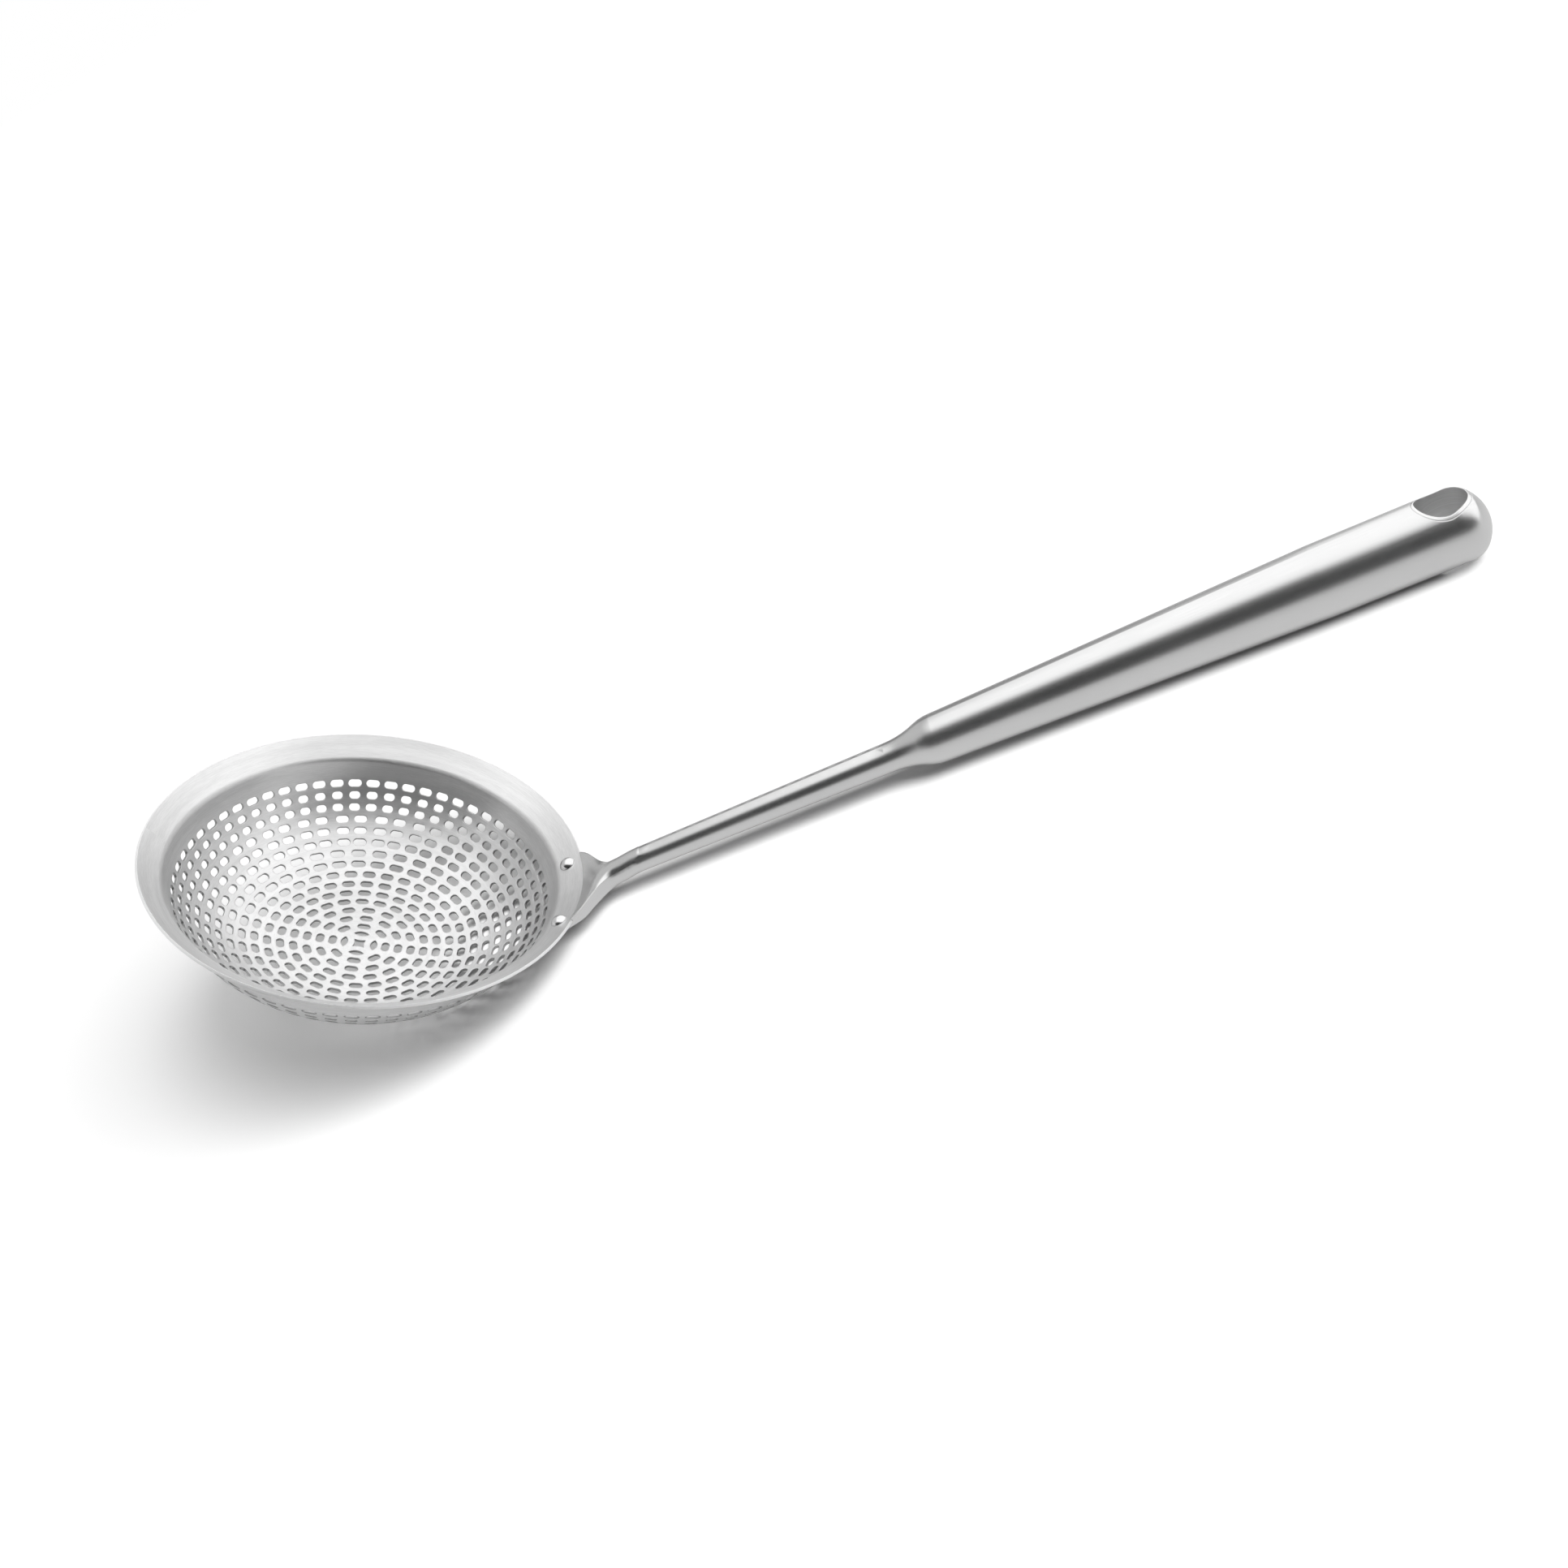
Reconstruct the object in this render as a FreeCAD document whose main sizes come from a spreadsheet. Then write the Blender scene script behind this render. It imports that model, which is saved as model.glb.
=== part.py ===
import FreeCAD, Part
import math
import os
import Sketcher

# Skimmer with a slotted bowl on a long tubular handle, in millimetres.
# The pieces are drawn in the bowl's own frame: the bowl's axis is Z, the rim lies in the
# plane Z = 0 and the handle leaves over +X. Each finished piece then gets one shared
# placement, in which the skimmer lies as it comes to rest: the bowl's curved underside and
# the grip touch the plane Z = 0, and the origin is the middle of the foot of its box.

SIZES = [
    ("rim_radius", 65.0),
    ("bowl_depth", 33.2),
    ("sheet_thickness", 0.8),
    ("base_flat_radius", 9.9),
    ("base_arc_radius", 131.0),
    ("base_arc_angle", 6.2),
    ("side_arc_radius", 40.6),
    ("rim_bend_radius", 3.0),
    ("flange_slope", 36.5),
    ("centre_hole_size", 3.5),
    ("centre_hole_side_radius", 5.0),
    ("lens_length", 4.7),
    ("lens_width", 2.1),
    ("slot_width", 2.35),
    ("inner_slot_length", 4.0),
    ("middle_slot_length", 4.5),
    ("outer_slot_length", 4.1),
    ("upper_slot_length", 3.5),
    ("top_slot_length", 4.3),
    ("first_ring_arc", 4.5),
    ("second_ring_arc", 8.05),
    ("ring_pitch", 3.88),
    ("inner_ring_turn", -0.5),
    ("middle_ring_turn", 1.1),
    ("outer_ring_turn", 2.95),
    ("slot_pair_shift", 0.26),
    ("handle_slope", 36.3),
    ("handle_axis_lift", 1.37),
    ("handle_reach", 276.4),
    ("shaft_start", 20.0),
    ("neck_start", 12.0),
    ("neck_radius", 3.68),
    ("neck_drop", 0.85),
    ("shaft_front_radius", 3.62),
    ("shaft_rear_radius", 4.4),
    ("shoulder_start", 101.5),
    ("shoulder_length", 15.5),
    ("shoulder_hollow_radius", 28.0),
    ("grip_front_radius", 7.35),
    ("grip_rear_radius", 10.42),
    ("grip_taper_end", 230.0),
    ("dome_cap_radius", 12.0),
    ("dome_edge_radius", 7.6),
    ("tube_wall", 1.0),
    ("plate_thickness", 1.4),
    ("hang_hole_radius", 6.8),
    ("hang_hole_from_end", 10.4),
    ("sleeve_wall", 0.8),
    ("rivet_circle_radius", 61.05),
    ("rivet_half_angle", 13.15),
    ("rivet_head_radius", 2.55),
    ("rivet_head_height", 1.7),
    ("rivet_tail_radius", 1.85),
    ("rivet_tail_height", 0.8),
    ("rivet_shank_radius", 1.6),
]

# Sections of the flattened end of the tube, from under the rim out to the neck. Each gives
# its place along the handle, half width and height of the ridges beside the flat top,
# height of the top's middle, half width and height of the foot's corners, height of the
# foot's middle, and how far the flank between ridge and foot stands out. Heights are from
# the handle's axis.
PLATE_COLUMNS = ("along", "ridge_width", "ridge_height", "crown",
                 "foot_width", "foot_height", "foot", "bulge")
PLATE_SECTIONS = [
    (-10.8, 13.6, 0.15, -1.6, 12.4, -3.60, -4.15, 0.35),
    (-8.6, 16.2, 0.22, -1.6, 15.2, -3.20, -4.20, 0.35),
    (-6.2, 17.1, 0.30, -1.6, 16.1, -3.05, -4.20, 0.35),
    (-3.8, 16.9, 0.38, -1.6, 15.5, -3.10, -4.20, 0.35),
    (-1.4, 16.1, 0.46, -1.45, 14.3, -3.30, -4.20, 0.35),
    (1.0, 14.2, 0.54, -0.85, 12.5, -3.60, -4.25, 0.35),
    (3.0, 11.65, 0.60, -0.1, 9.7, -3.75, -4.30, 0.35),
    (5.0, 8.7, 0.65, 0.75, 7.1, -3.90, -4.35, 0.38),
    (7.0, 6.2, 0.68, 1.55, 4.7, -4.05, -4.40, 0.45),
    (9.0, 4.65, 0.70, 2.2, 2.9, -4.15, -4.45, 0.6),
    (10.5, 3.8, 0.71, 2.55, 2.1, -4.20, -4.50, 0.85),
]

# Slots in each ring, from the centre outwards.
SLOTS_PER_RING = (4, 8, 12, 16, 22, 26, 30, 34, 36, 36, 48, 48, 48, 60, 60, 60)
LENS_RING = 1
LAST_INNER_RING = 8
LAST_MIDDLE_RING = 10
LAST_OUTER_RING = 13
LAST_UPPER_RING = 15

# How far a cutting tool runs past the faces that it has to clear.
CLEAR = 2.0
# How deep a rivet's head and tail start inside the sheets that they are trimmed to.
SEAT = 0.5
# Angles in degrees at which the plate's ridges and foot corners run out on the round neck.
RIDGE_ANGLE = 25.0
FOOT_ANGLE = -65.0
# Steps in which the neck comes up to the handle's axis.
NECK_STEPS = 4

V = FreeCAD.Vector
Z_AXIS = V(0, 0, 1)
ORIGIN_POINT = -1
X_AXIS_LINE = -1
Y_AXIS_LINE = -2
START = 1
END = 2
CENTRE = 3

doc = FreeCAD.newDocument("skimmer")


def fill_sheet():
    sheet = doc.addObject("Spreadsheet::Sheet", "Sizes")
    rows = list(SIZES)
    for index, section in enumerate(PLATE_SECTIONS, 1):
        for column, value in zip(PLATE_COLUMNS, section):
            rows.append(("plate_%s_no_%d" % (column, index), value))
    for row, (alias, value) in enumerate(rows, 1):
        sheet.set("A%d" % row, alias)
        sheet.set("B%d" % row, str(value))
        sheet.setAlias("B%d" % row, alias)
    doc.recompute()
    return sheet


sizes = fill_sheet()


def size(alias):
    return float(getattr(sizes, alias))


def polar(centre, radius, angle):
    return V(centre.x + radius * math.cos(angle), centre.y + radius * math.sin(angle), 0)


def angle_of(vector):
    return math.atan2(vector.y, vector.x)


def arc(centre, radius, start, end):
    return Part.ArcOfCircle(Part.Circle(centre, Z_AXIS, radius), start, end)


def new_body(name):
    body = doc.addObject("PartDesign::Body", name)
    planes = {item.Role: item for item in body.Origin.OriginFeatures}
    return body, planes["XZ_Plane"]


def new_sketch(body, plane, name):
    sketch = body.newObject("Sketcher::SketchObject", name)
    sketch.AttachmentSupport = [(plane, "")]
    sketch.MapMode = "FlatFace"
    return sketch


def revolve(body, sketch, axis):
    feature = body.newObject("PartDesign::Revolution", body.Name + "_form")
    feature.Profile = sketch
    feature.ReferenceAxis = (sketch, [axis])
    feature.Angle = 360


def relate(sketch, *definition):
    sketch.addConstraint(Sketcher.Constraint(*definition))


def measure(sketch, name, expression, *definition):
    """Add a driving constraint whose value comes from the sheet."""
    index = sketch.addConstraint(Sketcher.Constraint(*definition))
    sketch.renameConstraint(index, name)
    sketch.setExpression("Constraints." + name, expression)


def place_point(sketch, name, geometry, end, x_expression, x, y_expression, y):
    measure(sketch, name + "_x", x_expression, "DistanceX", ORIGIN_POINT, START, geometry, end, x)
    measure(sketch, name + "_y", y_expression, "DistanceY", ORIGIN_POINT, START, geometry, end, y)


def bowl_profile():
    """Centres and angles of the bowl's inner face, with radius as x and height as y."""
    flat = size("base_flat_radius")
    base_radius = size("base_arc_radius")
    base_end = math.radians(size("base_arc_angle")) - math.pi / 2
    side_radius = size("side_arc_radius")
    bend_radius = size("rim_bend_radius")
    slope = math.radians(size("flange_slope"))
    base_centre = V(flat, base_radius - size("bowl_depth"), 0)
    side_centre = polar(base_centre, base_radius - side_radius, base_end)
    # The bend touches the flange from below and the side arc from outside.
    rim = V(size("rim_radius"), 0, 0)
    inwards = V(-math.cos(slope), -math.sin(slope), 0)
    below = V(math.sin(slope), -math.cos(slope), 0)
    start = rim + below * bend_radius - side_centre
    reach = side_radius + bend_radius
    half = start.dot(inwards)
    run = -half - math.sqrt(half * half - start.dot(start) + reach * reach)
    bend_centre = rim + inwards * run + below * bend_radius
    side_end = angle_of(bend_centre - side_centre)
    return {
        "base_centre": base_centre,
        "side_centre": side_centre,
        "bend_centre": bend_centre,
        "base_end": base_end,
        "side_end": side_end,
        "bend_start": side_end + math.pi,
        "bend_end": slope + math.pi / 2,
        "rim": rim,
        "slope": slope,
        "inwards": inwards,
        "below": below,
    }


PROFILE = bowl_profile()


def draw_run(sketch, offset):
    """Draw floor, base arc, side arc, bend and flange at one distance under the inner face."""
    p = PROFILE
    bottom = -size("bowl_depth") - offset
    floor = sketch.addGeometry(Part.LineSegment(V(0, bottom, 0), V(size("base_flat_radius"), bottom, 0)))
    sketch.addGeometry(arc(p["base_centre"], size("base_arc_radius") + offset, -math.pi / 2, p["base_end"]))
    sketch.addGeometry(arc(p["side_centre"], size("side_arc_radius") + offset, p["base_end"], p["side_end"]))
    bend_radius = size("rim_bend_radius") - offset
    sketch.addGeometry(arc(p["bend_centre"], bend_radius, p["bend_end"], p["bend_start"]))
    flange_start = polar(p["bend_centre"], bend_radius, p["bend_end"])
    sketch.addGeometry(Part.LineSegment(flange_start, p["rim"] + p["below"] * offset))
    relate(sketch, "Horizontal", floor)
    relate(sketch, "PointOnObject", floor, START, Y_AXIS_LINE)
    relate(sketch, "Tangent", floor, END, floor + 1, START)
    relate(sketch, "Tangent", floor + 1, END, floor + 2, START)
    relate(sketch, "Tangent", floor + 2, END, floor + 3, END)
    relate(sketch, "Tangent", floor + 3, START, floor + 4, START)
    return floor


def make_bowl_sheet():
    """Pressed sheet of the bowl, before any hole is punched."""
    body, plane = new_body("bowl_sheet")
    sketch = new_sketch(body, plane, "bowl_section")
    p = PROFILE
    thickness = size("sheet_thickness")
    bottom = -size("bowl_depth")
    inner = draw_run(sketch, 0)
    outer = draw_run(sketch, thickness)
    edge = sketch.addGeometry(Part.LineSegment(p["rim"], p["rim"] + p["below"] * thickness))
    middle = sketch.addGeometry(Part.LineSegment(V(0, bottom, 0), V(0, bottom - thickness, 0)))
    relate(sketch, "Coincident", inner + 4, END, edge, START)
    relate(sketch, "Coincident", outer + 4, END, edge, END)
    relate(sketch, "Coincident", inner, START, middle, START)
    relate(sketch, "Coincident", outer, START, middle, END)
    for curve in (1, 2, 3):
        relate(sketch, "Coincident", inner + curve, CENTRE, outer + curve, CENTRE)
    relate(sketch, "PointOnObject", inner + 4, END, X_AXIS_LINE)
    relate(sketch, "Perpendicular", inner + 4, edge)
    measure(sketch, "depth", "Sizes.bowl_depth",
            "DistanceY", inner, START, ORIGIN_POINT, START, size("bowl_depth"))
    measure(sketch, "rim", "Sizes.rim_radius",
            "DistanceX", ORIGIN_POINT, START, inner + 4, END, size("rim_radius"))
    measure(sketch, "flat", "Sizes.base_flat_radius",
            "DistanceX", inner, START, inner, END, size("base_flat_radius"))
    measure(sketch, "base_radius", "Sizes.base_arc_radius", "Radius", inner + 1, size("base_arc_radius"))
    measure(sketch, "base_angle", "Sizes.base_arc_angle * 1 deg",
            "Angle", inner + 1, math.radians(size("base_arc_angle")))
    measure(sketch, "side_radius", "Sizes.side_arc_radius", "Radius", inner + 2, size("side_arc_radius"))
    measure(sketch, "bend_radius", "Sizes.rim_bend_radius", "Radius", inner + 3, size("rim_bend_radius"))
    measure(sketch, "slope", "Sizes.flange_slope * 1 deg", "Angle", inner + 4, p["slope"])
    measure(sketch, "edge_width", "Sizes.sheet_thickness", "Distance", edge, thickness)
    measure(sketch, "floor_width", "Sizes.sheet_thickness", "Distance", middle, thickness)
    revolve(body, sketch, "V_Axis")
    return body


def sheet_point(arc_length):
    """Radius, height and slope of the inner face at a length along it from the centre."""
    flat = size("base_flat_radius")
    base_radius = size("base_arc_radius")
    base_angle = math.radians(size("base_arc_angle"))
    if arc_length <= flat:
        return arc_length, -size("bowl_depth"), 0.0
    if arc_length <= flat + base_radius * base_angle:
        angle = (arc_length - flat) / base_radius
        point = polar(PROFILE["base_centre"], base_radius, angle - math.pi / 2)
        return point.x, point.y, angle
    side_radius = size("side_arc_radius")
    angle = base_angle + (arc_length - flat - base_radius * base_angle) / side_radius
    point = polar(PROFILE["side_centre"], side_radius, angle - math.pi / 2)
    return point.x, point.y, angle


def on_bowl(azimuth, radius, height, slope):
    """Placement with local Z square to the sheet and local Y around the rim."""
    turn = FreeCAD.Placement(V(0, 0, 0), FreeCAD.Rotation(Z_AXIS, azimuth))
    tilt = FreeCAD.Rotation(V(0, 1, 0), -math.degrees(slope))
    return turn.multiply(FreeCAD.Placement(V(radius, 0, height), tilt))


def prism(edges):
    """Solid that reaches CLEAR to both sides of a closed outline."""
    face = Part.Face(Part.Wire(edges))
    face.translate(V(0, 0, -CLEAR))
    return face.extrude(V(0, 0, 2 * CLEAR))


def slot_tool(length, width):
    side = width / 2
    half = length / 2 - side
    right = Part.makeLine(V(side, -half, 0), V(side, half, 0))
    upper = Part.Arc(V(side, half, 0), V(0, length / 2, 0), V(-side, half, 0)).toShape()
    left = Part.makeLine(V(-side, half, 0), V(-side, -half, 0))
    lower = Part.Arc(V(-side, -half, 0), V(0, -length / 2, 0), V(side, -half, 0)).toShape()
    return prism([right, upper, left, lower])


def lens_tool(length, width):
    tip = V(0, length / 2, 0)
    tail = V(0, -length / 2, 0)
    right = Part.Arc(tail, V(width / 2, 0, 0), tip).toShape()
    left = Part.Arc(tip, V(-width / 2, 0, 0), tail).toShape()
    return prism([right, left])


def centre_tool(side, curve_radius):
    """Square hole whose four sides curve inwards."""
    half = side / 2
    sag = curve_radius - math.sqrt(curve_radius ** 2 - half ** 2)
    corners = [V(half, half, 0), V(-half, half, 0), V(-half, -half, 0), V(half, -half, 0)]
    edges = []
    for index, corner in enumerate(corners):
        following = corners[(index + 1) % len(corners)]
        middle = (corner + following) / 2
        middle = middle * ((half - sag) / middle.Length)
        edges.append(Part.Arc(corner, middle, following).toShape())
    return prism(edges)


def ring_style(ring):
    """Cutting tool, angle of the first slot and shift within a pair, for one ring."""
    width = size("slot_width")
    inner_turn = size("inner_ring_turn")
    middle_turn = size("middle_ring_turn")
    if ring == LENS_RING:
        return lens_tool(size("lens_length"), size("lens_width")), inner_turn, 0.0
    if ring <= LAST_INNER_RING:
        return slot_tool(size("inner_slot_length"), width), inner_turn, 0.0
    if ring <= LAST_MIDDLE_RING:
        return slot_tool(size("middle_slot_length"), width), middle_turn, 0.0
    if ring <= LAST_OUTER_RING:
        outer_turn = size("outer_ring_turn")
        return slot_tool(size("outer_slot_length"), width), outer_turn, size("slot_pair_shift")
    if ring <= LAST_UPPER_RING:
        return slot_tool(size("upper_slot_length"), width), middle_turn, 0.0
    return slot_tool(size("top_slot_length"), width), middle_turn, 0.0


def ring_arc(ring):
    if ring == LENS_RING:
        return size("first_ring_arc")
    return size("second_ring_arc") + (ring - LENS_RING - 1) * size("ring_pitch")


def make_slot_tools():
    """Punches for every slot, each square to the sheet."""
    centre = centre_tool(size("centre_hole_size"), size("centre_hole_side_radius"))
    centre.Placement = on_bowl(size("inner_ring_turn"), 0, -size("bowl_depth"), 0)
    tools = [centre]
    for ring, count in enumerate(SLOTS_PER_RING, 1):
        pattern, turn, shift = ring_style(ring)
        radius, height, slope = sheet_point(ring_arc(ring))
        for index in range(count):
            side = 1 if index % 2 else -1
            azimuth = turn + 360.0 * index / count + side * shift
            tool = pattern.copy()
            tool.Placement = on_bowl(azimuth, radius, height, slope)
            tools.append(tool)
    feature = doc.addObject("Part::Feature", "slot_tools")
    feature.Shape = Part.makeCompound(tools)
    return feature


# Frame of the handle: its first axis runs along the handle from the rim to the end.
HANDLE_SLOPE = math.radians(size("handle_slope"))
HANDLE_ALONG = V(math.cos(HANDLE_SLOPE), 0, math.sin(HANDLE_SLOPE))
HANDLE_ACROSS = V(0, 1, 0)
HANDLE_UP = V(-math.sin(HANDLE_SLOPE), 0, math.cos(HANDLE_SLOPE))
HANDLE_START = V(size("rim_radius"), 0, 0) + HANDLE_UP * size("handle_axis_lift")
HANDLE_X = "Sizes.rim_radius - Sizes.handle_axis_lift * sin(Sizes.handle_slope * 1 deg)"
HANDLE_Z = "Sizes.handle_axis_lift * cos(Sizes.handle_slope * 1 deg)"


def on_handle(along, across, up):
    return HANDLE_START + HANDLE_ALONG * along + HANDLE_ACROSS * across + HANDLE_UP * up


def dome_edge_centre(inset):
    """Centre of the arc between the grip and the cap that closes it."""
    cap_radius = size("dome_cap_radius") - inset
    edge_radius = size("dome_edge_radius") - inset
    height = size("grip_rear_radius") - inset - edge_radius
    cap_x = size("handle_reach") - size("dome_cap_radius")
    return V(cap_x + math.sqrt((cap_radius - edge_radius) ** 2 - height ** 2), height, 0)


def make_round(name, inset, inset_expression):
    """Shaft, shoulder, grip and domed end, turned about the handle's axis."""
    body, plane = new_body(name)
    sketch = new_sketch(body, plane, name + "_section")
    turn = FreeCAD.Rotation(Z_AXIS, size("handle_slope"))
    sketch.AttachmentOffset = FreeCAD.Placement(V(HANDLE_START.x, HANDLE_START.z, 0), turn)
    sketch.setExpression("AttachmentOffset.Base.x", HANDLE_X)
    sketch.setExpression("AttachmentOffset.Base.y", HANDLE_Z)
    sketch.setExpression("AttachmentOffset.Rotation.Angle", "Sizes.handle_slope * 1 deg")
    front = V(size("shaft_start"), size("shaft_front_radius") - inset, 0)
    shoulder = V(size("shoulder_start"), size("shaft_rear_radius") - inset, 0)
    grip = V(size("shoulder_start") + size("shoulder_length"), size("grip_front_radius") - inset, 0)
    rear = V(size("grip_taper_end"), size("grip_rear_radius") - inset, 0)
    # The shoulder is a hollow arc and a crowned arc that meet with one slope.
    length = size("shoulder_length")
    rise = grip.y - shoulder.y
    hollow = size("shoulder_hollow_radius") + inset
    crown = (length * length + rise * rise) / (2 * rise) - hollow
    hollow_centre = V(shoulder.x, shoulder.y + hollow, 0)
    crown_centre = V(grip.x, grip.y - crown, 0)
    swing = angle_of(crown_centre - hollow_centre)
    edge_radius = size("dome_edge_radius") - inset
    edge_centre = dome_edge_centre(inset)
    cap_radius = size("dome_cap_radius") - inset
    cap_centre = V(size("handle_reach") - size("dome_cap_radius"), 0, 0)
    meet = angle_of(edge_centre - cap_centre)
    end = V(cap_centre.x + cap_radius, 0, 0)
    foot = V(front.x, 0, 0)
    curves = [
        Part.LineSegment(foot, front),
        Part.LineSegment(front, shoulder),
        arc(hollow_centre, hollow, -math.pi / 2, swing),
        arc(crown_centre, crown, math.pi / 2, swing + math.pi),
        Part.LineSegment(grip, rear),
        Part.LineSegment(rear, V(edge_centre.x, rear.y, 0)),
        arc(edge_centre, edge_radius, meet, math.pi / 2),
        arc(cap_centre, cap_radius, 0, meet),
        Part.LineSegment(end, foot),
    ]
    face, shaft, hollow_arc, crown_arc, taper, straight, edge_arc, cap_arc, axis = range(len(curves))
    for curve in curves:
        sketch.addGeometry(curve)
    relate(sketch, "Vertical", face)
    relate(sketch, "Coincident", face, END, shaft, START)
    relate(sketch, "Coincident", shaft, END, hollow_arc, START)
    relate(sketch, "Vertical", hollow_arc, START, hollow_arc, CENTRE)
    relate(sketch, "Tangent", hollow_arc, END, crown_arc, END)
    relate(sketch, "Vertical", crown_arc, START, crown_arc, CENTRE)
    relate(sketch, "Coincident", crown_arc, START, taper, START)
    relate(sketch, "Coincident", taper, END, straight, START)
    relate(sketch, "Horizontal", straight)
    relate(sketch, "Tangent", straight, END, edge_arc, END)
    relate(sketch, "Tangent", edge_arc, START, cap_arc, END)
    relate(sketch, "PointOnObject", cap_arc, CENTRE, X_AXIS_LINE)
    relate(sketch, "Coincident", cap_arc, START, axis, START)
    relate(sketch, "Coincident", axis, END, face, START)
    relate(sketch, "PointOnObject", axis, START, X_AXIS_LINE)
    relate(sketch, "PointOnObject", axis, END, X_AXIS_LINE)
    wall = " - " + inset_expression
    place_point(sketch, "front", shaft, START, "Sizes.shaft_start", front.x,
                "Sizes.shaft_front_radius" + wall, front.y)
    place_point(sketch, "shoulder", shaft, END, "Sizes.shoulder_start", shoulder.x,
                "Sizes.shaft_rear_radius" + wall, shoulder.y)
    place_point(sketch, "grip", taper, START, "Sizes.shoulder_start + Sizes.shoulder_length", grip.x,
                "Sizes.grip_front_radius" + wall, grip.y)
    place_point(sketch, "rear", taper, END, "Sizes.grip_taper_end", rear.x,
                "Sizes.grip_rear_radius" + wall, rear.y)
    measure(sketch, "hollow", "Sizes.shoulder_hollow_radius + " + inset_expression,
            "Radius", hollow_arc, hollow)
    measure(sketch, "edge", "Sizes.dome_edge_radius" + wall, "Radius", edge_arc, edge_radius)
    measure(sketch, "cap", "Sizes.dome_cap_radius" + wall, "Radius", cap_arc, cap_radius)
    measure(sketch, "reach", "Sizes.handle_reach" + wall,
            "DistanceX", ORIGIN_POINT, START, axis, START, end.x)
    revolve(body, sketch, "H_Axis")
    return body


def plate_outline(values):
    """Top, flank, foot and flank of a flattened section, as three points each."""
    ridge = V(values["ridge_width"], values["ridge_height"], 0)
    foot = V(values["foot_width"], values["foot_height"], 0)
    crown = V(0, values["crown"], 0)
    low = V(0, values["foot"], 0)
    chord = foot - ridge
    flank = (ridge + foot) / 2 + V(-chord.y, chord.x, 0) / chord.Length * values["bulge"]
    return ridge, flank, foot, crown, low


def round_outline(radius, drop):
    """The same points on a circle whose centre lies below the handle's axis."""
    centre = V(0, -drop, 0)
    angles = (RIDGE_ANGLE, (RIDGE_ANGLE + FOOT_ANGLE) / 2, FOOT_ANGLE, 90.0, -90.0)
    return [polar(centre, radius, math.radians(angle)) for angle in angles]


def bent(start, middle, end):
    """Cubic curve that follows the arc through three evenly spaced points."""
    chord = end - start
    half = chord.Length / 2
    sag = middle - (start + end) / 2
    run = chord / chord.Length * (2 * (half * half - sag.Length ** 2) / (3 * half))
    rise = sag * (4.0 / 3)
    curve = Part.BezierCurve()
    curve.setPoles([start, start + run + rise, end - run + rise, end])
    return curve.toShape()


def add_section(name, along, outline):
    ridge, flank, foot, crown, low = outline
    mirrored = [V(-point.x, point.y, 0) for point in (ridge, flank, foot)]
    curves = [
        (mirrored[0], crown, ridge),
        (ridge, flank, foot),
        (foot, low, mirrored[2]),
        (mirrored[2], mirrored[1], mirrored[0]),
    ]
    edges = []
    for curve in curves:
        points = [on_handle(along, point.x, point.y) for point in curve]
        edges.append(bent(*points))
    feature = doc.addObject("Part::Feature", name)
    feature.Shape = Part.Wire(edges)
    return feature


def make_plate():
    """Flattened end of the tube, lofted from under the rim to the round shaft."""
    sections = []
    for index in range(1, len(PLATE_SECTIONS) + 1):
        values = {column: size("plate_%s_no_%d" % (column, index)) for column in PLATE_COLUMNS}
        outline = plate_outline(values)
        sections.append(add_section("plate_section_%d" % index, values["along"], outline))
    # The neck is round, and eases up to the handle's axis. Its last section lies in the shaft.
    neck = size("neck_start")
    radius = size("neck_radius")
    for step in range(NECK_STEPS + 2):
        share = step / NECK_STEPS
        along = neck + (size("shaft_start") - neck) * share
        section_radius = radius + (size("shaft_front_radius") - radius) * share
        drop = size("neck_drop") * max(1 - share, 0) ** 2 * (1 + 2 * share)
        sections.append(add_section("neck_section_%d" % (step + 1), along, round_outline(section_radius, drop)))
    loft = doc.addObject("Part::Loft", "plate_blank")
    loft.Sections = sections
    loft.Solid = True
    loft.Ruled = False
    return loft


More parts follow.
